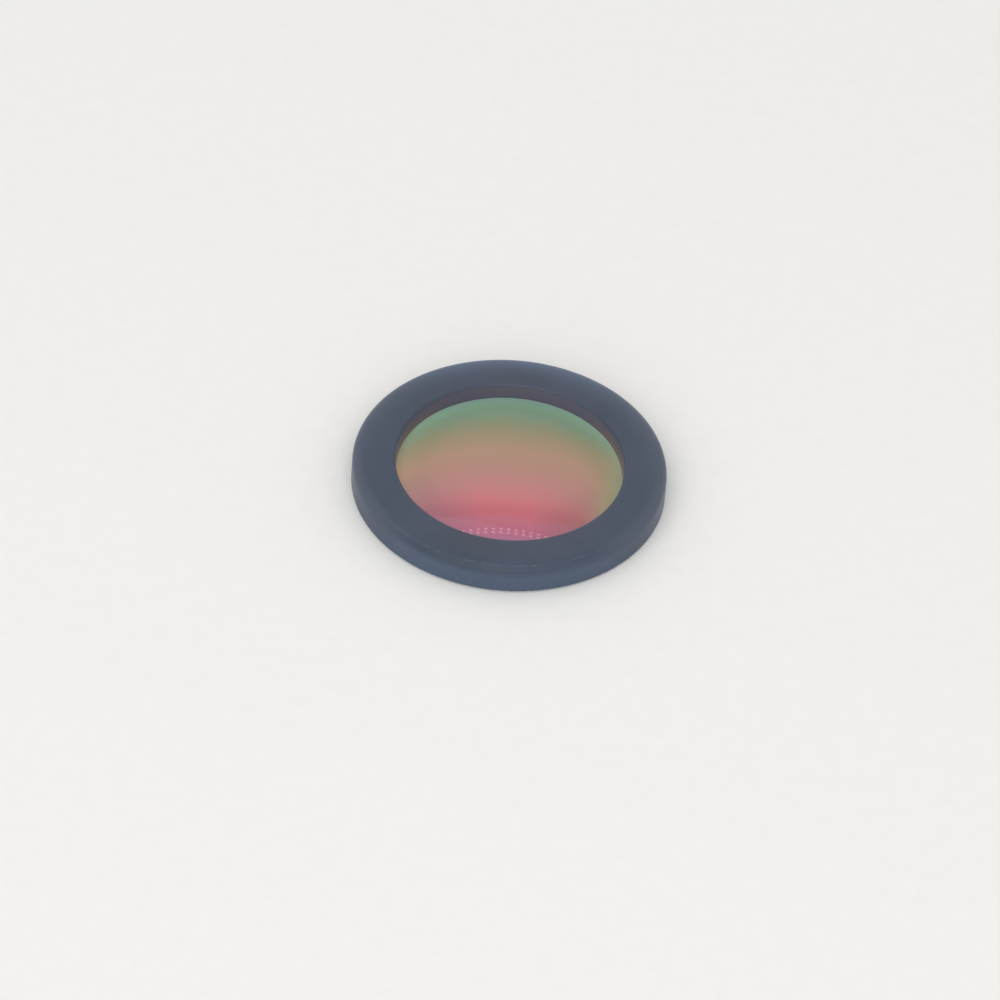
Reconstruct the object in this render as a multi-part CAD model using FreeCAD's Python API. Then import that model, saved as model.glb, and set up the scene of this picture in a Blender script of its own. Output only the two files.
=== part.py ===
import FreeCAD, Part
import math
import os

# Lens that closes up the view of a heat camera: a round lens in a plain black ring.
# Millimetres. The axis of the lens is Z, the front faces +Z and the back rests on Z = 0.

# Lens: convex front, flat back
lens_diameter = 20.0
lens_front_radius = 42.0      # spherical radius of the front face
lens_edge_thickness = 0.55    # height of the lens at its rim
lens_bevel = 0.1              # small bevel on both corners of the rim
lens_clearance = 0.05         # radial room between the lens and its bore

# Front lip that holds the lens from above
lip_overlap = 0.9             # how far the lip reaches in over the lens
lip_thickness = 1.25          # height of the lip at the edge of the window
window_taper_deg = 4.5        # the window opens towards the front by this much
window_edge_radius = 0.3      # rounding between the window and the front face

# Retaining ring that closes the bore behind the lens
retainer_thickness = 0.5
retainer_width = 0.95         # from its outer to its inner wall
retainer_clearance = 0.05     # radial room between the ring and the bore
retainer_bevel = 0.15         # bevel on the inner back edge
retainer_recess = 0.1         # how far the ring lies inside the back face
slot_width = 1.4              # two slots for a pin spanner
slot_depth = 0.25

# Ring magnet in the back face
magnet_thickness = 0.8
magnet_width = 1.0            # from its outer to its inner wall
magnet_clearance = 0.05       # radial room on each side of the magnet
magnet_recess = 0.03          # how far the magnet lies inside the back face

# Walls and edges of the holder
inner_wall = 0.75             # between the lens bore and the magnet groove
outer_wall = 0.6              # between the magnet groove and the outside
rim_radius = 0.75             # rounded outer front edge
foot_bevel = 0.2              # bevel around the outer back edge
bore_bevel = 0.15             # lead-in at the mouth of the lens bore

# Radii that follow from the sizes above
lens_radius = lens_diameter / 2
bore_radius = lens_radius + lens_clearance
window_radius = lens_radius - lip_overlap
groove_inner_radius = bore_radius + inner_wall
magnet_inner_radius = groove_inner_radius + magnet_clearance
magnet_outer_radius = magnet_inner_radius + magnet_width
groove_outer_radius = magnet_outer_radius + magnet_clearance
holder_radius = groove_outer_radius + outer_wall
retainer_outer_radius = bore_radius - retainer_clearance
retainer_inner_radius = retainer_outer_radius - retainer_width


def sag(radius):
    """How far the lens's front face has dropped at this distance from the axis."""
    return lens_front_radius - math.sqrt(lens_front_radius ** 2 - radius ** 2)


# The lip's underside is a cone that touches the front face of the lens in the middle of the overlap
seat_radius = (window_radius + lens_radius) / 2
seat_slope = seat_radius / math.sqrt(lens_front_radius ** 2 - seat_radius ** 2)

# Heights, from the back face up: retaining ring, lens, lip
lens_back = retainer_recess + retainer_thickness
lens_rim_top = lens_back + lens_edge_thickness
lens_vertex = lens_rim_top + sag(lens_radius)
seat_height = lens_vertex - sag(seat_radius)
lip_underside = seat_height + (seat_radius - window_radius) * seat_slope
bore_end = seat_height - (bore_radius - seat_radius) * seat_slope
holder_height = lip_underside + lip_thickness
magnet_top = magnet_recess + magnet_thickness


def point(radius, height):
    """A point of a section, given by its distance from the axis and its height."""
    return FreeCAD.Vector(radius, 0, height)


def turned(edges):
    """The solid that a closed section sweeps out around the axis."""
    section = Part.Face(Part.Wire(edges))
    return section.revolve(FreeCAD.Vector(0, 0, 0), FreeCAD.Vector(0, 0, 1), 360)


def straight_edges(corners):
    """Straight edges that join a list of points in order."""
    return [Part.makeLine(start, end) for start, end in zip(corners, corners[1:])]


def rounded_corner(before, corner, after, radius):
    """Where a rounding of this radius leaves both sides of a corner, with its middle."""
    towards_before = (before - corner).normalize()
    towards_after = (after - corner).normalize()
    half_angle = towards_before.getAngle(towards_after) / 2
    reach = radius / math.tan(half_angle)
    bisector = (towards_before + towards_after).normalize()
    centre = corner + bisector * (radius / math.sin(half_angle))
    return corner + towards_before * reach, centre - bisector * radius, corner + towards_after * reach


def holder_ring():
    """The black ring: lip and window in front, lens bore and magnet groove behind."""
    window_top = window_radius + lip_thickness * math.tan(math.radians(window_taper_deg))

    window_foot = point(window_radius, lip_underside)
    window_corner = point(window_top, holder_height)
    rim_corner = point(holder_radius, holder_height)
    foot = point(holder_radius, foot_bevel)

    window_start, window_middle, window_end = rounded_corner(
        window_foot, window_corner, rim_corner, window_edge_radius)
    rim_start, rim_middle, rim_end = rounded_corner(window_corner, rim_corner, foot, rim_radius)

    back = [
        rim_end,
        foot,
        point(holder_radius - foot_bevel, 0),
        point(groove_outer_radius, 0),
        point(groove_outer_radius, magnet_top),
        point(groove_inner_radius, magnet_top),
        point(groove_inner_radius, 0),
        point(bore_radius + bore_bevel, 0),
        point(bore_radius, bore_bevel),
        point(bore_radius, bore_end),
        window_foot,
        window_start,
    ]
    edges = straight_edges(back)
    edges.append(Part.Arc(window_start, window_middle, window_end).toShape())
    edges.append(Part.makeLine(window_end, rim_start))
    edges.append(Part.Arc(rim_start, rim_middle, rim_end).toShape())
    return turned(edges)


def macro_lens():
    """The lens: a spherical front face over a flat back, with bevelled rim corners."""
    front_edge_radius = lens_radius - lens_bevel
    front_edge = point(front_edge_radius, lens_vertex - sag(front_edge_radius))
    halfway = point(front_edge_radius / 2, lens_vertex - sag(front_edge_radius / 2))
    vertex = point(0, lens_vertex)
    rim = [
        vertex,
        point(0, lens_back),
        point(lens_radius - lens_bevel, lens_back),
        point(lens_radius, lens_back + lens_bevel),
        point(lens_radius, lens_rim_top - lens_bevel),
        front_edge,
    ]
    edges = straight_edges(rim)
    edges.append(Part.Arc(front_edge, halfway, vertex).toShape())
    return turned(edges)


def retaining_ring():
    """The ring behind the lens, with two slots across its back for a pin spanner."""
    section = [
        point(retainer_inner_radius, lens_back),
        point(retainer_outer_radius, lens_back),
        point(retainer_outer_radius, retainer_recess),
        point(retainer_inner_radius + retainer_bevel, retainer_recess),
        point(retainer_inner_radius, retainer_recess + retainer_bevel),
        point(retainer_inner_radius, lens_back),
    ]
    ring = turned(straight_edges(section))
    slots = Part.makeBox(
        2 * bore_radius, slot_width, slot_depth,
        FreeCAD.Vector(-bore_radius, -slot_width / 2, retainer_recess))
    return ring.cut(slots)


def ring_magnet():
    """The plated ring magnet, seated on the floor of its groove."""
    section = [
        point(magnet_inner_radius, magnet_recess),
        point(magnet_outer_radius, magnet_recess),
        point(magnet_outer_radius, magnet_top),
        point(magnet_inner_radius, magnet_top),
        point(magnet_inner_radius, magnet_recess),
    ]
    return turned(straight_edges(section))


def write_parts():
    """Write one file for each piece, named after it."""
    os.makedirs("parts", exist_ok=True)
    for make_piece in (holder_ring, macro_lens, retaining_ring, ring_magnet):
        piece = make_piece()
        name = make_piece.__name__
        piece.exportStep("parts/" + name + ".step")
        print(name, "volume", round(piece.Volume, 2), "mm3, valid", piece.isValid())


write_parts()
print("outer diameter", round(2 * holder_radius, 3), "height", round(holder_height, 3))
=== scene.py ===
import math

import bpy
import numpy as np
from mathutils import Matrix, Vector


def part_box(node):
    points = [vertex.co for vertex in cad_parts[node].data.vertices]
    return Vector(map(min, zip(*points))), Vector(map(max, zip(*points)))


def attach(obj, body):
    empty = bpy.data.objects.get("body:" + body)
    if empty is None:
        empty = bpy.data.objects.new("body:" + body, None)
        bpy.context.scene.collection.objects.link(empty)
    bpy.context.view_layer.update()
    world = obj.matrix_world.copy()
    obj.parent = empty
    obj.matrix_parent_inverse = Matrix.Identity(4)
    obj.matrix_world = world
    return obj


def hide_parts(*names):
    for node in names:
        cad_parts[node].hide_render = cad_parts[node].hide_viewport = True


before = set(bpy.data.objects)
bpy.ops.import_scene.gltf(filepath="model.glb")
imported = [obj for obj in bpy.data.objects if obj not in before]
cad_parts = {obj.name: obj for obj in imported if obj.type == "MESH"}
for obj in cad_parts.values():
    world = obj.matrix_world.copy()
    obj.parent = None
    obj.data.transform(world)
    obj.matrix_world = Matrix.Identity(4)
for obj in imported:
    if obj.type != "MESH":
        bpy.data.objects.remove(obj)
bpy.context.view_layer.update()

mm = 0.001
print("stage: frame loaded,", len(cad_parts), "pieces")


# Colours and nodes

def hexColour(code):
    # sRGB hex turned to the linear values that shaders work in
    parts = np.array([int(code[i:i + 2], 16) for i in (1, 3, 5)]) / 255
    linear = np.where(parts <= 0.04045, parts / 12.92, ((parts + 0.055) / 1.055) ** 2.4)
    return (*linear.tolist(), 1.0)


def addNode(tree, kind, settings=None, links=None):
    # settings: a property of the node by its name, or a socket by its name or number
    # links: a socket, fed by another node's first output or by the output that is given
    node = tree.nodes.new("ShaderNode" + kind)
    for name, value in (settings or {}).items():
        if isinstance(name, str) and hasattr(node, name):
            setattr(node, name, value)
        else:
            node.inputs[name].default_value = value
    for name, source in (links or {}).items():
        output = source.outputs[0] if isinstance(source, bpy.types.Node) else source
        tree.links.new(output, node.inputs[name])
    return node


def startMaterial(name):
    # the shader, the place on the piece in millimetres, and that place's distance from the lens's axis
    material = bpy.data.materials.new(name)
    material.use_nodes = True
    tree = material.node_tree
    tree.nodes.clear()
    shader = addNode(tree, "BsdfPrincipled")
    addNode(tree, "OutputMaterial", links={"Surface": shader})
    coordinates = addNode(tree, "TexCoord")
    place = addNode(tree, "VectorMath", {"operation": "SCALE", "Scale": 1 / mm},
                    {0: coordinates.outputs["Object"]})
    flat = addNode(tree, "VectorMath", {"operation": "MULTIPLY", 1: (1, 1, 0)}, {0: place})
    distance = addNode(tree, "VectorMath", {"operation": "LENGTH"}, {0: flat}).outputs["Value"]
    return material, tree, shader, place, distance


# Surfaces

def unit(vectors):
    return vectors / np.linalg.norm(vectors, axis=-1, keepdims=True)


def roundedOutline(corners, steps=6):
    # corners: rows of (distance from the axis, height, rounding), in millimetres, anticlockwise.
    # Each corner gives way to the arc that touches both its sides. The arc is worked out by turning
    # evenly from the radius at its start to the radius at its end, as a weighted sum of the two.
    corners = np.asarray(corners, float)
    corner, radius = corners[:, :2], corners[:, 2:]
    back = unit(np.roll(corner, 1, 0) - corner)
    ahead = unit(np.roll(corner, -1, 0) - corner)
    half = np.arccos(np.clip((back * ahead).sum(1, keepdims=True), -1, 1)) / 2
    centre = corner + unit(back + ahead) * radius / np.sin(half)
    start = corner + back * radius / np.tan(half) - centre
    end = corner + ahead * radius / np.tan(half) - centre
    turn = (np.pi - 2 * half)[:, None, :]
    t = np.linspace(0, 1, steps)[None, :, None]
    arc = np.sin((1 - t) * turn) * start[:, None] + np.sin(t * turn) * end[:, None]
    return (centre[:, None] + arc / np.sin(turn)).reshape(-1, 2)


def evenOutline(outline, longestMm):
    # long straight runs get points in between, so that no run is longer than longestMm
    ahead = np.roll(outline, -1, 0)
    parts = np.maximum(1, np.ceil(np.linalg.norm(ahead - outline, axis=1) / longestMm)).astype(int)
    first = np.repeat(np.cumsum(parts) - parts, parts)
    share = ((np.arange(parts.sum()) - first) / np.repeat(parts, parts))[:, None]
    return np.repeat(outline, parts, 0) * (1 - share) + np.repeat(ahead, parts, 0) * share


def sweptPoints(outline, columns):
    # an outline of (distance, height) carried round the axis: x = r cos a, y = r sin a, z = height
    r, z = outline[None, :, 0], outline[None, :, 1]
    a = np.linspace(0, 2 * np.pi, columns, endpoint=False)[:, None]
    return np.stack([r * np.cos(a), r * np.sin(a), z + 0 * a], -1)


def gridPiece(name, points, material, poles=()):
    # points: columns round the axis by rows along the outline, in millimetres. Each cell is one face.
    # The outline is closed, or poles gives the points on the axis that close its start and its end.
    columns, rows = points.shape[:2]
    index = np.arange(columns * rows).reshape(columns, rows)
    east = np.roll(index, -1, 0)
    cells = np.stack([index, east, np.roll(east, -1, 1), np.roll(index, -1, 1)], -1)
    places = points.reshape(-1, 3)
    if poles:
        start, end = columns * rows, columns * rows + 1
        faces = cells[:, :-1].reshape(-1, 4).tolist()
        faces += np.stack([np.full(columns, start), east[:, 0], index[:, 0]], -1).tolist()
        faces += np.stack([np.full(columns, end), index[:, -1], east[:, -1]], -1).tolist()
        places = np.concatenate([places, np.asarray(poles, float)])
    else:
        faces = cells.reshape(-1, 4).tolist()
    mesh = bpy.data.meshes.new(name)
    mesh.from_pydata((places * mm).tolist(), [], faces)
    mesh.shade_smooth()
    mesh.set_sharp_from_angle(angle=math.radians(40))
    mesh.materials.append(material)
    piece = bpy.data.objects.new(name, mesh)
    bpy.context.collection.objects.link(piece)
    return piece


def seatPiece(piece, node):
    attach(piece, "root")
    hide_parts(node)
    print("stage:", piece.name, "has", len(piece.data.polygons), "faces")


def boxMm(node):
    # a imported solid's outer radius and its lowest and highest level, in millimetres
    low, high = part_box(node)
    return (high[0] - low[0]) / 2 / mm, low[2] / mm, high[2] / mm


holderRadius, _, holderHigh = boxMm("holder_ring")
lensRadius, lensBack, lensVertex = boxMm("macro_lens")
retainerRadius, retainerLow, retainerHigh = boxMm("retaining_ring")
magnetRadius, magnetLow, magnetHigh = boxMm("ring_magnet")


# The lens: zinc selenide, ground and polished, with an interference coating

lens = {
    "frontRadius": 36.6,  # mm, spherical
    "bevel": 0.1,
    "columns": 240,
    "rings": 60,
    # the coating's colours, in bands that bow over the lens: how far along in mm, and colour
    "bands": (
        (-8.5, "#9d668b"), (-7.0, "#b56078"), (-5.5, "#be6874"), (-4.0, "#c67a7e"), (-2.5, "#be8382"),
        (-0.5, "#b38a7d"), (1.5, "#ae907c"), (3.5, "#9f9076"), (5.0, "#8e9176"), (6.5, "#7f967d"),
        (7.6, "#7d9b84"), (9.0, "#769488")),
    "bow": (0.0137, 0.00035, 0.00273),  # of the bands: plain, more to the sides, more to the far side
    "lean": -0.0241,
    "wander": 0.35,  # mm
    "wanderSize": 6.0,
    "turnAcross": (6.0, 8.6),  # mm to the right, over which the near bands turn to run along the edge
    "turnNear": (2.0, -2.5),
    "turn": 4.6,  # mm
    "paler": ("#d2ffff", "#cff9e6"),  # left and right: the near bands lose some of their red there
    "palerAcross": (2.0, 6.5),  # mm to either side
    "palerNear": (-1.0, -6.0),
    "palerTurn": (-2.0, 2.0),  # mm, from the left one to the right one
    "rimFrom": 6.5,  # mm from the axis, beyond which the colour is painted lighter to make up for the wall's shade
    "rimTo": 9.0,
    "rimPaintedLight": 0.78,
    "rimPower": 2.8,
    "cleanFrom": (-4.8, -6.5),  # mm, over which the near edge is wiped clean and shines more
    "amber": "#b07a3e",  # zinc selenide's own colour, seen from behind
    "amberShare": 0.6,
    "amberDepth": 0.3,  # mm from the back
    "fleck": "#c9b3ab",
    "fleckShare": 0.5,
    "fleckSpacing": 2.4,  # mm
    "fleckRadius": (0.035, 0.015),  # of the spacing, where a fleck starts and is full
    "fleckFew": 0.75,  # this share of the flecks is left out
    "wipeSize": 2.5,  # mm
    "rough": (0.035, 0.05),
}


def coatedLens():
    # a hard gloss over colours that run from green through tan and rose to magenta
    material, tree, shader, place, distance = startMaterial("coatedZincSelenide")
    x, y, z = addNode(tree, "SeparateXYZ", links={0: place}).outputs
    # how far along the bands a point lies: y + lean x + x^2 (plain + side x^2 + far y), and some wander
    plain, side, far = lens["bow"]
    xSquare = addNode(tree, "Math", {"operation": "MULTIPLY"}, {0: x, 1: x})
    bow = addNode(tree, "Math", {"operation": "MULTIPLY_ADD", 1: side, 2: plain}, {0: xSquare})
    bow = addNode(tree, "Math", {"operation": "MULTIPLY_ADD", 1: far}, {0: y, 2: bow})
    along = addNode(tree, "Math", {"operation": "MULTIPLY_ADD", 1: lens["lean"]}, {0: x, 2: y})
    along = addNode(tree, "Math", {"operation": "MULTIPLY_ADD"}, {0: xSquare, 1: bow, 2: along})
    wander = addNode(tree, "TexNoise", {"Scale": 1 / lens["wanderSize"], "Detail": 2.0},
                     {"Vector": place})
    wander = addNode(tree, "MapRange", {"To Min": -lens["wander"], "To Max": lens["wander"]},
                     {"Value": wander})
    along = addNode(tree, "Math", {"operation": "ADD"}, {0: along, 1: wander})
    start, end = lens["turnAcross"]
    right = addNode(tree, "MapRange",
                    {"interpolation_type": "SMOOTHSTEP", "From Min": start, "From Max": end},
                    {"Value": x})
    start, end = lens["turnNear"]
    near = addNode(tree, "MapRange", {"From Min": start, "From Max": end, "To Max": lens["turn"]},
                   {"Value": y})
    along = addNode(tree, "Math", {"operation": "MULTIPLY_ADD"}, {0: right, 1: near, 2: along})
    first, last = lens["bands"][0][0], lens["bands"][-1][0]
    share = addNode(tree, "MapRange", {"From Min": first, "From Max": last}, {"Value": along})
    ramp = addNode(tree, "ValToRGB", links={0: share})
    stops = ramp.color_ramp.elements
    for at, code in lens["bands"][1:-1]:
        stops.new((at - first) / (last - first)).color = hexColour(code)
    stops[0].color = hexColour(lens["bands"][0][1])
    stops[len(stops) - 1].color = hexColour(lens["bands"][-1][1])

    # the near bands turn paler to either side
    start, end = lens["palerAcross"]
    aside = addNode(tree, "Math", {"operation": "ABSOLUTE"}, {0: x})
    aside = addNode(tree, "MapRange", {"From Min": start, "From Max": end}, {"Value": aside})
    start, end = lens["palerNear"]
    near = addNode(tree, "MapRange", {"From Min": start, "From Max": end}, {"Value": y})
    paler = addNode(tree, "Math", {"operation": "MULTIPLY"}, {0: aside, 1: near})
    left, right = lens["paler"]
    start, end = lens["palerTurn"]
    onRight = addNode(tree, "MapRange", {"From Min": start, "From Max": end}, {"Value": x})
    tint = addNode(tree, "Mix", {"data_type": "RGBA", 6: hexColour(left), 7: hexColour(right)},
                   {0: onRight})
    colour = addNode(tree, "Mix", {"data_type": "RGBA", "blend_type": "MULTIPLY"},
                     {0: paler, 6: ramp, 7: tint.outputs[2]})

    # painted light: the coating's colour is made lighter towards the rim, to make up for the shade that
    # the wall casts on the glass:
    # its colour times 1 + lift t^power, with t from 0 at rimFrom to 1 at rimTo
    t = addNode(tree, "MapRange", {"From Min": lens["rimFrom"], "From Max": lens["rimTo"]},
                {"Value": distance})
    t = addNode(tree, "Math", {"operation": "POWER", 1: lens["rimPower"]}, {0: t})
    # painted light, growing towards the rim
    lift = addNode(tree, "Math", {"operation": "MULTIPLY_ADD", 1: lens["rimPaintedLight"], 2: 1.0}, {0: t})
    colour = addNode(tree, "VectorMath", {"operation": "SCALE"}, {0: colour.outputs[2], "Scale": lift})

    # the flat back has the same coating over the glass's own amber
    behind = addNode(tree, "MapRange",
                     {"From Min": lensBack + lens["amberDepth"], "From Max": lensBack,
                      "To Max": lens["amberShare"]},
                     {"Value": z})
    colour = addNode(tree, "Mix", {"data_type": "RGBA", 7: hexColour(lens["amber"])},
                     {0: behind, 6: colour})

    # a few flecks of dust, each about a tenth of a millimetre
    flecks = addNode(tree, "TexVoronoi", {"Scale": 1 / lens["fleckSpacing"]}, {"Vector": place})
    start, end = lens["fleckRadius"]
    small = addNode(tree, "MapRange", {"From Min": start, "From Max": end, "To Max": lens["fleckShare"]},
                    {"Value": flecks})
    chance = addNode(tree, "SeparateColor", links={0: flecks.outputs["Color"]})
    few = addNode(tree, "Math", {"operation": "GREATER_THAN", 1: lens["fleckFew"]}, {0: chance})
    fleck = addNode(tree, "Math", {"operation": "MULTIPLY"}, {0: small, 1: few})
    colour = addNode(tree, "Mix", {"data_type": "RGBA", 7: hexColour(lens["fleck"])},
                     {0: fleck, 6: colour.outputs[2]})
    tree.links.new(colour.outputs[2], shader.inputs["Base Color"])

    wipe = addNode(tree, "TexNoise", {"Scale": 1 / lens["wipeSize"], "Detail": 3.0}, {"Vector": place})
    smooth, rough = lens["rough"]
    rough = addNode(tree, "MapRange", {"To Min": smooth, "To Max": rough}, {"Value": wipe})
    tree.links.new(rough.outputs[0], shader.inputs["Roughness"])
    shader.inputs["IOR"].default_value = 1.6  # zinc selenide has 2.4, but the coating kills its glare
    shader.inputs["Specular IOR Level"].default_value = 0.03
    shader.inputs["Specular Tint"].default_value = hexColour("#ffd9e6")
    # a haze of handling dulls the glass, apart from its near edge, which is wiped clean
    start, end = lens["cleanFrom"]
    clean = addNode(tree, "MapRange",
                    {"interpolation_type": "SMOOTHSTEP", "From Min": start, "From Max": end},
                    {"Value": y})
    tree.links.new(clean.outputs[0], shader.inputs["Coat Weight"])
    shader.inputs["Coat Roughness"].default_value = 0.03
    shader.inputs["Coat IOR"].default_value = 1.5
    return material


def frontDrop(r):
    # how far a sphere of radius R has dropped at distance r: R less the root of R squared less r squared
    return lens["frontRadius"] - np.sqrt(lens["frontRadius"] ** 2 - np.asarray(r) ** 2)


def lensPiece():
    # the outline runs out along the flat back, up the rim and in over the front, then goes round the axis
    bevel = lens["bevel"]
    rimTop = lensVertex - float(frontDrop(lensRadius))
    r = np.linspace(0, lensRadius - bevel, lens["rings"] + 1)[1:]
    back = np.stack([r[2::3], np.full(len(r[2::3]), lensBack)], 1)
    rim = np.array([(lensRadius, lensBack + bevel), (lensRadius, rimTop - bevel)])
    front = np.stack([r, lensVertex - frontDrop(r)], 1)[::-1]
    outline = np.concatenate([back, rim, front])
    piece = gridPiece("macroLens", sweptPoints(outline, lens["columns"]), coatedLens(),
                      poles=((0, 0, lensBack), (0, 0, lensVertex)))
    seatPiece(piece, "macro_lens")


# The holder: black ABS, moulded in a spark-eroded tool

holder = {
    "lipOverlap": 1.0,  # mm, how far the lip reaches in over the lens
    "lipThickness": 1.4,
    "windowTaper": 4.5,  # degrees
    "windowEdge": 0.3,
    "rim": 0.75,
    "footBevel": 0.2,
    "boreRoom": 0.05,
    "boreBevel": 0.15,
    "grooveRoom": 0.05,
    "magnetWidth": 1.0,
    "softEdge": 0.03,  # every other corner is rounded by this
    "columns": 360,
    "face": "#394353",
    "cloud": "#3f495b",
    "side": "#475468",  # the outer wall is painted lighter: painted light that makes up for the shade it stands in
    "wall": "#5e5867",  # the window's wall, painted lighter than the face and tinted by the lens's red: painted light on its shade
    "glow": "#8a6461",  # painted reflection of the lens's red on the plastic
    # the colour of scuffs from handling, also used for painted highlights along the rim
    "worn": "#586070",
    "farRimHighlight": "#5a677d",  # painted highlight, a little bluer on the far side of the rim
    # painted shade for the rounding in front
    "skin": "#2c3442",
    "dust": "#8d939b",
    "grain": 0.16,  # mm, drawn coarser than the real 0.03 mm so that it shows
    "cloudSize": 5.0,
    "cloudShare": (0.35, 0.65),
    "scuffSize": 0.6,
    "dustSpacing": 1.6,
    "dustFew": 0.82,  # this share of the specks is left out
    "crestIn": 0.38,  # mm in from the outside, where the face turns down into the rounded rim
    "rough": (0.32, 0.5),
    # Regions: what each is measured by, where it starts and where it is full, and its share at both.
    # Lengths are in mm: x and y, aside from x = 0, out from the window, in from the outside, off the
    # crest, down from the face and up from the lip's underside. Scuff and speck are noises.
    "regions": {
        "middle": ("aside", 9.0, 3.0, 0, 0.035),
        "around": ("out", 3.0, 1.4, 0, 1),
        "outer": ("in", 0.5, 0, 0, 1),
        "below": ("down", 0.2, 1.2, 0, 1),
        "ahead": ("aside", 11.5, 8.0, 0.3, 1),
        "scuffed": ("scuff", 0.56, 0.7, 0, 0.4),
        "outwards": ("in", 2.9, 0.6, 0, 1),
        "farther": ("y", -3.0, 12.0, 0, 1),
        "farthest": ("y", 7.0, 10.5, 0, 1),
        "onFace": ("down", 0.9, 0.4, 0, 1),
        "paintedSideHighlight": ("in", 1.1, 0.35, 0, 0.38),
        "toSide": ("aside", 6.5, 10.0, 0, 1),
        "nearer": ("y", 1.0, -2.0, 0, 1),
        "rounding": ("in", 0.3, 0.22, 0, 1),
        "upper": ("down", 0.75, 0.4, 0, 1),
        "inFront": ("y", -8.0, -11.0, 0, 0.4),
        "toLeft": ("x", 5.5, 0.5, 0, 1),
        "inside": ("out", 0.5, 0.2, 0, 1),
        "sunk": ("down", 0.12, 0.34, 0, 1),
        "beside": ("aside", 5.5, 9.0, 0, 1),
        "low": ("up", 0.8, 0.1, 0, 1),
        "crest": ("off", 0.07, 0.02, 0, 1),
        "patchy": ("scuff", 0.44, 0.6, 0, 0.6),
        "front": ("y", -6.0, -11.0, 0, 1),
        "small": ("speck", 0.045, 0.02, 0, 0.25),
    },
    "softRegions": ("paintedSideHighlight", "inside"),
    # layers of colour from the bottom up, each with the regions whose shares are multiplied
    "layers": (
        ("glow", "middle", "around"),  # a faint painted reflection of the lens's red on the face before and behind the lens
        ("side", "outer", "below", "ahead"),  # the outer wall below the rounded rim, painted lighter as painted light on its shade, less so to either side
        ("worn", "scuffed", "outer", "below"),  # its scuffs, from handling
        ("bare", "outwards", "outwards", "farther", "onFace"),  # the face lighter towards its rim, most on the far side: a painted highlight
        ("worn", "paintedSideHighlight", "toSide", "nearer", "onFace"),  # lighter near the rim on either side too: a painted highlight
        ("skin", "rounding", "upper", "inFront", "toLeft"),  # the rounding in front darkened: painted shade
        ("wall", "inside", "sunk"),  # the window's wall, from its rounded edge down to the lens: painted light on its shade
        ("glow", "beside", "low", "inside", "sunk"),  # a red line at its foot: painted reflection of the lens's red
        ("worn", "crest", "patchy", "front"),  # a thin broken light line along the crest in front: a painted highlight
        ("dust", "small", "few"),  # a few specks, each about a tenth of a millimetre
    ),
}
windowRadius = lensRadius - holder["lipOverlap"]
lipUnder = holderHigh - holder["lipThickness"]


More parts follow.
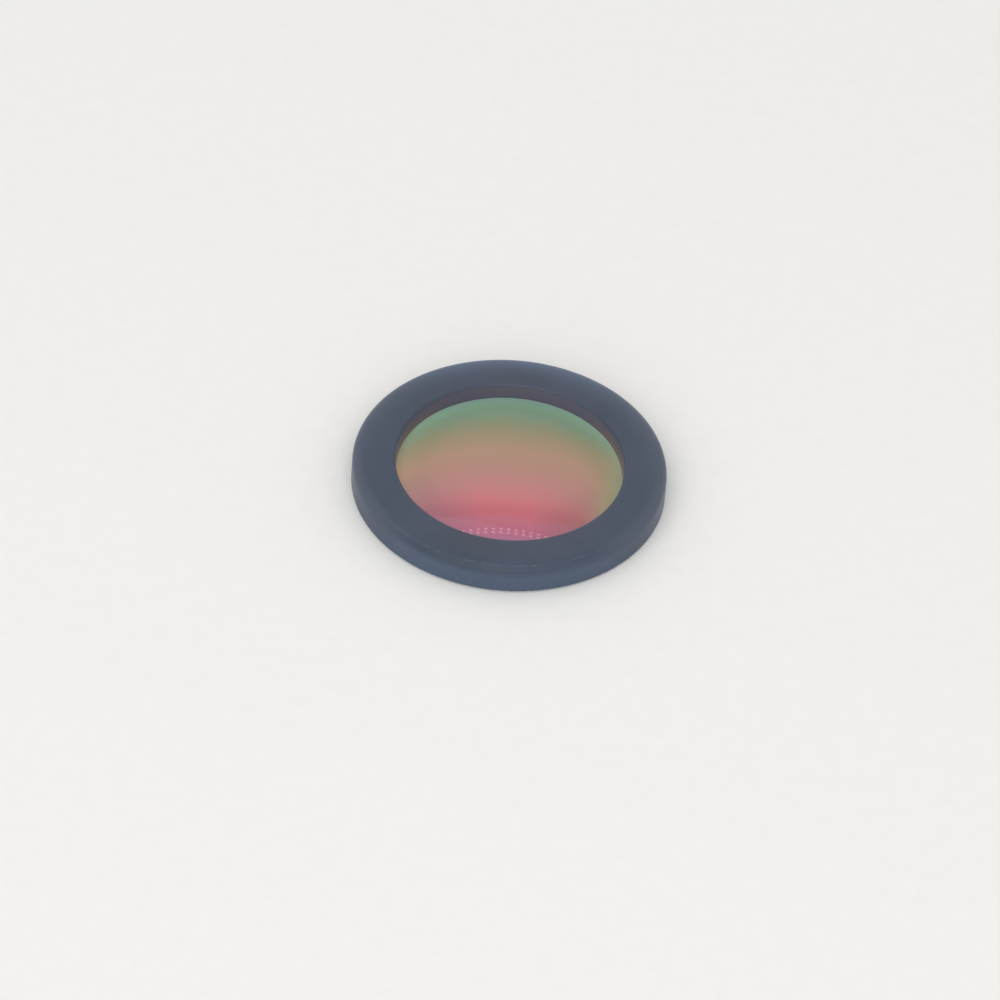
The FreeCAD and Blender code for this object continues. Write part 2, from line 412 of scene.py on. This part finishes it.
def mouldedPlastic():
    # a dull slate black with a fine even grain, soft clouds of handling and scuffs, with painted
    # highlights, painted reflection and painted shade on its rim and walls
    material, tree, shader, place, distance = startMaterial("blackMouldedABS")
    x, y, height = addNode(tree, "SeparateXYZ", links={0: place}).outputs
    aside = addNode(tree, "Math", {"operation": "ABSOLUTE"}, {0: x})
    crest = addNode(tree, "Math", {"operation": "SUBTRACT", 1: holderRadius - holder["crestIn"]},
                    {0: distance})
    crest = addNode(tree, "Math", {"operation": "ABSOLUTE"}, {0: crest})
    cloud = addNode(tree, "TexNoise", {"Scale": 1 / holder["cloudSize"], "Detail": 4.0, "Roughness": 0.6},
                    {"Vector": place})
    scuff = addNode(tree, "TexNoise",
                    {"Scale": 1 / holder["scuffSize"], "Detail": 5.0, "Roughness": 0.65},
                    {"Vector": place})
    grain = addNode(tree, "TexNoise", {"Scale": 1 / holder["grain"], "Detail": 3.0, "Roughness": 0.6},
                    {"Vector": place})
    specks = addNode(tree, "TexVoronoi", {"Scale": 1 / holder["dustSpacing"]}, {"Vector": place})

    # each measure: what feeds it, the level that it counts from, and which way it counts
    measures = {
        "x": (x, 0, 1), "y": (y, 0, 1), "aside": (aside, 0, 1),
        "out": (distance, windowRadius, 1), "in": (distance, holderRadius, -1), "off": (crest, 0, 1),
        "down": (height, holderHigh, -1), "up": (height, lipUnder, 1),
        "scuff": (scuff, 0, 1), "speck": (specks, 0, 1),
    }
    shares = {}
    for name, (measure, first, last, least, most) in holder["regions"].items():
        source, level, way = measures[measure]
        ease = "SMOOTHSTEP" if name in holder["softRegions"] else "LINEAR"
        shares[name] = addNode(tree, "MapRange",
                               {"interpolation_type": ease, "From Min": level + way * first,
                                "From Max": level + way * last, "To Min": least, "To Max": most},
                               {"Value": source})
    chance = addNode(tree, "SeparateColor", links={0: specks.outputs["Color"]})
    shares["few"] = addNode(tree, "Math", {"operation": "GREATER_THAN", 1: holder["dustFew"]},
                            {0: chance})

    start, end = holder["cloudShare"]
    clouded = addNode(tree, "MapRange", {"From Min": start, "From Max": end}, {"Value": cloud})
    colour = addNode(tree, "Mix",
                     {"data_type": "RGBA", 6: hexColour(holder["face"]), 7: hexColour(holder["cloud"])},
                     {0: clouded})
    # painted highlight towards the rim, bluer on its far side
    bare = addNode(tree, "Mix",
                   {"data_type": "RGBA", 6: hexColour(holder["worn"]), 7: hexColour(holder["farRimHighlight"])},
                   {0: shares["farthest"]})
    for tint, lowest, *others in holder["layers"]:
        share = shares[lowest]
        for other in others:
            share = addNode(tree, "Math", {"operation": "MULTIPLY"}, {0: share, 1: shares[other]})
        colour = addNode(tree, "Mix", {"data_type": "RGBA"}, {0: share, 6: colour.outputs[2]})
        if tint == "bare":
            tree.links.new(bare.outputs[2], colour.inputs[7])
        else:
            colour.inputs[7].default_value = hexColour(holder[tint])
    tree.links.new(colour.outputs[2], shader.inputs["Base Color"])

    smooth, rough = holder["rough"]
    rough = addNode(tree, "MapRange", {"To Min": smooth, "To Max": rough}, {"Value": scuff})
    tree.links.new(rough.outputs[0], shader.inputs["Roughness"])
    shader.inputs["IOR"].default_value = 1.5
    shader.inputs["Specular IOR Level"].default_value = 0.3
    shader.inputs["Sheen Weight"].default_value = 0.12
    shader.inputs["Sheen Roughness"].default_value = 0.3
    shader.inputs["Sheen Tint"].default_value = hexColour("#c4d2ee")
    bump = addNode(tree, "Bump", {"Strength": 0.35, "Distance": 0.02 * mm}, {"Height": grain})
    tree.links.new(bump.outputs[0], shader.inputs["Normal"])
    return material


def holderPiece():
    # the section runs anticlockwise from the back end of the lens bore and is carried round the axis
    boreRadius = lensRadius + holder["boreRoom"]
    grooveOut = magnetRadius + holder["grooveRoom"]
    grooveIn = magnetRadius - holder["magnetWidth"] - holder["grooveRoom"]
    # the lip's underside is a cone that touches the lens's front in the middle of the overlap
    seatRadius = (windowRadius + lensRadius) / 2
    slope = seatRadius / math.sqrt(lens["frontRadius"] ** 2 - seatRadius ** 2)
    boreEnd = lipUnder - (boreRadius - windowRadius) * slope
    windowTop = windowRadius + holder["lipThickness"] * math.tan(math.radians(holder["windowTaper"]))
    soft, foot, lead = holder["softEdge"], holder["footBevel"], holder["boreBevel"]
    corners = [
        (boreRadius, boreEnd, soft), (boreRadius, lead, soft), (boreRadius + lead, 0, soft),
        (grooveIn, 0, soft), (grooveIn, magnetHigh, soft), (grooveOut, magnetHigh, soft),
        (grooveOut, 0, soft), (holderRadius - foot, 0, soft), (holderRadius, foot, soft),
        (holderRadius, holderHigh, holder["rim"]), (windowTop, holderHigh, holder["windowEdge"]),
        (windowRadius, lipUnder, soft),
    ]
    outline = evenOutline(roundedOutline(corners, 9), 0.3)
    piece = gridPiece("holderRing", sweptPoints(outline, holder["columns"]), mouldedPlastic())
    seatPiece(piece, "holder_ring")


# The retaining ring: black ABS, turned on a lathe

retainer = {
    "width": 0.95,  # mm
    "bevel": 0.15,
    "slotWidth": 1.4,
    "slotDepth": 0.25,
    "slotWall": 0.03,
    "softEdge": 0.03,
    "face": "#23272e",
    "groove": "#2d3239",
    "toolPitch": 0.08,  # mm, from one turned ring to the next
    "smearSize": 0.8,
    "rough": (0.35, 0.5),
}


def turnedPlastic():
    # fine rings left by the tool catch the light
    material, tree, shader, place, distance = startMaterial("blackTurnedABS")
    turns = addNode(tree, "Math", {"operation": "MULTIPLY", 1: 2 * math.pi / retainer["toolPitch"]},
                    {0: distance})
    wave = addNode(tree, "Math", {"operation": "SINE"}, {0: turns})
    share = addNode(tree, "MapRange", {"From Min": -1.0}, {"Value": wave})
    colour = addNode(tree, "Mix",
                     {"data_type": "RGBA", 6: hexColour(retainer["face"]),
                      7: hexColour(retainer["groove"])},
                     {0: share})
    tree.links.new(colour.outputs[2], shader.inputs["Base Color"])
    smear = addNode(tree, "TexNoise", {"Scale": 1 / retainer["smearSize"], "Detail": 3.0},
                    {"Vector": place})
    smooth, rough = retainer["rough"]
    rough = addNode(tree, "MapRange", {"To Min": smooth, "To Max": rough}, {"Value": smear})
    tree.links.new(rough.outputs[0], shader.inputs["Roughness"])
    bump = addNode(tree, "Bump", {"Strength": 0.3, "Distance": 0.01 * mm}, {"Height": wave})
    tree.links.new(bump.outputs[0], shader.inputs["Normal"])
    return material


def retainerPiece():
    # columns outside the slots share out the angle between them; columns inside a slot run parallel
    # to its middle, at angle = arcsin(y / r). There the back face lies deeper by the slot's depth.
    inner, soft = retainerRadius - retainer["width"], retainer["softEdge"]
    corners = [
        (inner, retainerHigh, soft), (inner, retainerLow + retainer["bevel"], soft),
        (inner + retainer["bevel"], retainerLow, soft), (retainerRadius, retainerLow, soft),
        (retainerRadius, retainerHigh, soft),
    ]
    outline = evenOutline(roundedOutline(corners, 5), 0.25)
    r, z = outline[None, :, 0], outline[None, :, 1]
    half, wall = retainer["slotWidth"] / 2, retainer["slotWall"]
    across = np.concatenate([[-half], np.linspace(-half + wall, half - wall, 8), [half]])[:, None]
    inSlot = np.arcsin(across / r)
    share = np.linspace(0, 1, 100)[1:-1, None]
    edge = np.arcsin(half / r)
    arc = edge + share * (np.pi - 2 * edge)
    deep = np.clip((half - np.abs(across)) / wall, 0, 1)
    slotHeight = np.maximum(z, retainerLow + retainer["slotDepth"] * deep)
    plain = z + 0 * arc
    angle = np.concatenate([inSlot, arc, inSlot + np.pi, arc + np.pi])
    height = np.concatenate([slotHeight, plain, slotHeight, plain])
    points = np.stack([r * np.cos(angle), r * np.sin(angle), height], -1)
    piece = gridPiece("retainingRing", points, turnedPlastic())
    seatPiece(piece, "retaining_ring")


# The magnet: sintered, with a bright nickel plate

magnet = {
    "width": 1.0,  # mm
    "softEdge": 0.05,  # the plating rounds its corners
    "columns": 240,
    "bright": "#c9c4ba",
    "dull": "#a8a297",
    "ripple": 1.2,
    "pit": 0.35,
    "rough": (0.16, 0.34),
}


def nickelPlate():
    # bright and a little warm, with a faint ripple and small pits
    material, tree, shader, place, distance = startMaterial("nickelPlate")
    ripple = addNode(tree, "TexNoise", {"Scale": 1 / magnet["ripple"], "Detail": 4.0, "Roughness": 0.6},
                     {"Vector": place})
    dulled = addNode(tree, "MapRange", {"From Min": 0.35, "From Max": 0.7}, {"Value": ripple})
    colour = addNode(tree, "Mix",
                     {"data_type": "RGBA", 6: hexColour(magnet["bright"]), 7: hexColour(magnet["dull"])},
                     {0: dulled})
    tree.links.new(colour.outputs[2], shader.inputs["Base Color"])
    shader.inputs["Metallic"].default_value = 1.0
    smooth, rough = magnet["rough"]
    rough = addNode(tree, "MapRange", {"To Min": smooth, "To Max": rough}, {"Value": ripple})
    tree.links.new(rough.outputs[0], shader.inputs["Roughness"])
    pits = addNode(tree, "TexNoise", {"Scale": 1 / magnet["pit"], "Detail": 2.0}, {"Vector": place})
    bump = addNode(tree, "Bump", {"Strength": 0.2, "Distance": 0.01 * mm}, {"Height": pits})
    tree.links.new(bump.outputs[0], shader.inputs["Normal"])
    return material


def magnetPiece():
    # a rectangle with softened corners, carried round the axis
    inner, soft = magnetRadius - magnet["width"], magnet["softEdge"]
    corners = [
        (inner, magnetHigh, soft), (inner, magnetLow, soft),
        (magnetRadius, magnetLow, soft), (magnetRadius, magnetHigh, soft),
    ]
    outline = evenOutline(roundedOutline(corners, 5), 0.3)
    piece = gridPiece("ringMagnet", sweptPoints(outline, magnet["columns"]), nickelPlate())
    seatPiece(piece, "ring_magnet")


lensPiece()
holderPiece()
retainerPiece()
magnetPiece()


# Floor and light

studio = {
    "floor": "#f0efec",
    "floorLight": "#f2f1ee",
    "floorSize": 4.0,  # m
    "domeLight": 0.74,
    "boxes": (  # soft lights overhead and before the object: place and size in m, and power in W
        ((-0.08, 0.02, 0.55), 0.5, 0.25),
        ((-0.12, -0.61, 0.36), 0.8, 2.6)),
}
lampRow = {
    "columns": 13,
    "pitch": 0.0141,  # m, from one small lamp to the next
    "rows": (0.2041, 0.1939),  # m, how far each of the two rows lies beyond the lens
    "middle": 0.0075,  # m to the right
    "height": 0.45,
    "bow": 1.2,  # 1/m, how much the rows curve back towards the lens at their ends
    "radius": 0.003,
    "power": 0.0015,  # W each
    "colour": "#ffc4d8",
}


def makeFloor():
    side = studio["floorSize"] / 2
    mesh = bpy.data.meshes.new("floor")
    corners = [(-side, -side, 0), (side, -side, 0), (side, side, 0), (-side, side, 0)]
    mesh.from_pydata(corners, [], [(0, 1, 2, 3)])
    floor = bpy.data.objects.new("floor", mesh)
    bpy.context.collection.objects.link(floor)
    material, tree, shader, place, distance = startMaterial("palePaper")
    tint = addNode(tree, "TexNoise", {"Scale": 1 / 1.5, "Detail": 3.0}, {"Vector": place})
    share = addNode(tree, "MapRange", {"From Min": 0.3, "From Max": 0.7}, {"Value": tint})
    colour = addNode(tree, "Mix",
                     {"data_type": "RGBA", 6: hexColour(studio["floor"]),
                      7: hexColour(studio["floorLight"])},
                     {0: share})
    tree.links.new(colour.outputs[2], shader.inputs["Base Color"])
    shader.inputs["Roughness"].default_value = 0.95
    shader.inputs["Specular IOR Level"].default_value = 0.1
    mesh.materials.append(material)


def makeDome():
    # the dome is white where it is seen or mirrored, and a little dimmer as a light
    world = bpy.data.worlds.new("studio")
    world.use_nodes = True
    tree = world.node_tree
    tree.nodes.clear()
    path = addNode(tree, "LightPath")
    mirrored = addNode(tree, "Math", {"operation": "MAXIMUM"},
                       {0: path.outputs["Is Camera Ray"], 1: path.outputs["Is Glossy Ray"]})
    mirrored = addNode(tree, "Math", {"operation": "MAXIMUM"},
                       {0: mirrored, 1: path.outputs["Is Transmission Ray"]})
    strength = addNode(tree, "MapRange", {"To Min": studio["domeLight"]}, {"Value": mirrored})
    dome = addNode(tree, "Background", {"Color": (1, 1, 1, 1)}, {"Strength": strength})
    addNode(tree, "OutputWorld", links={"Surface": dome})
    bpy.context.scene.world = world


def addLamp(name, kind, place, power):
    lamp = bpy.data.lights.new(name, kind)
    lamp.energy = power
    lampObject = bpy.data.objects.new(name, lamp)
    bpy.context.collection.objects.link(lampObject)
    lampObject.location = place
    return lamp, lampObject


def makeLamps():
    for place, size, power in studio["boxes"]:
        softBox, softBoxObject = addLamp("softBox", "AREA", place, power)
        softBox.size = size
        softBoxObject.rotation_euler = (-softBoxObject.location).to_track_quat("-Z", "Y").to_euler()
    # two rows of small lamps, too weak to light anything, that mirror as dots in the lens's front edge
    for column in range(lampRow["columns"]):
        beside = (column - (lampRow["columns"] - 1) / 2) * lampRow["pitch"]
        for away in lampRow["rows"]:
            place = (lampRow["middle"] + beside, away - lampRow["bow"] * beside ** 2, lampRow["height"])
            small, smallObject = addLamp("smallLamp", "POINT", place, lampRow["power"])
            small.shadow_soft_size = lampRow["radius"]
            small.color = hexColour(lampRow["colour"])[:3]


# Camera

view = {
    "elevation": 42.5,  # degrees above the floor
    "roll": 4.45,  # degrees, the near rim's right side dips
    "pixelsPerMm": 12.615,
    "ringPixel": (510.1, 460.7),  # where the middle of the front face shows
    "imageSize": 1000,
    "lensMm": 288.0,
    "sensorMm": 36.0,
}


def makeCamera():
    # right, up and back are the camera's own axes; the image's middle is offset from the ring's middle
    elevation, roll = math.radians(view["elevation"]), math.radians(view["roll"])
    level, risen = Vector((1, 0, 0)), Vector((0, math.sin(elevation), math.cos(elevation)))
    back = Vector((0, -math.cos(elevation), math.sin(elevation)))
    right = math.cos(roll) * level + math.sin(roll) * risen
    up = math.cos(roll) * risen - math.sin(roll) * level
    pixelsPerUnit = view["imageSize"] * view["lensMm"] / view["sensorMm"]
    away = pixelsPerUnit / view["pixelsPerMm"] * mm
    middle = view["imageSize"] / 2
    besideMm = (view["ringPixel"][0] - middle) / view["pixelsPerMm"]
    aboveMm = (middle - view["ringPixel"][1]) / view["pixelsPerMm"]
    target = Vector((0, 0, holderHigh * mm)) - right * besideMm * mm - up * aboveMm * mm
    camera = bpy.data.cameras.new("camera")
    camera.lens, camera.sensor_width = view["lensMm"], view["sensorMm"]
    camera.clip_start, camera.clip_end = 0.01, 20
    cameraObject = bpy.data.objects.new("camera", camera)
    bpy.context.collection.objects.link(cameraObject)
    turn = Matrix((right, up, back)).transposed().to_4x4()
    cameraObject.matrix_world = Matrix.Translation(target + back * away) @ turn
    bpy.context.scene.camera = cameraObject


makeFloor()
makeDome()
makeLamps()
makeCamera()
bpy.context.scene.view_settings.view_transform = "Standard"
print("stage: floor, light and camera set")
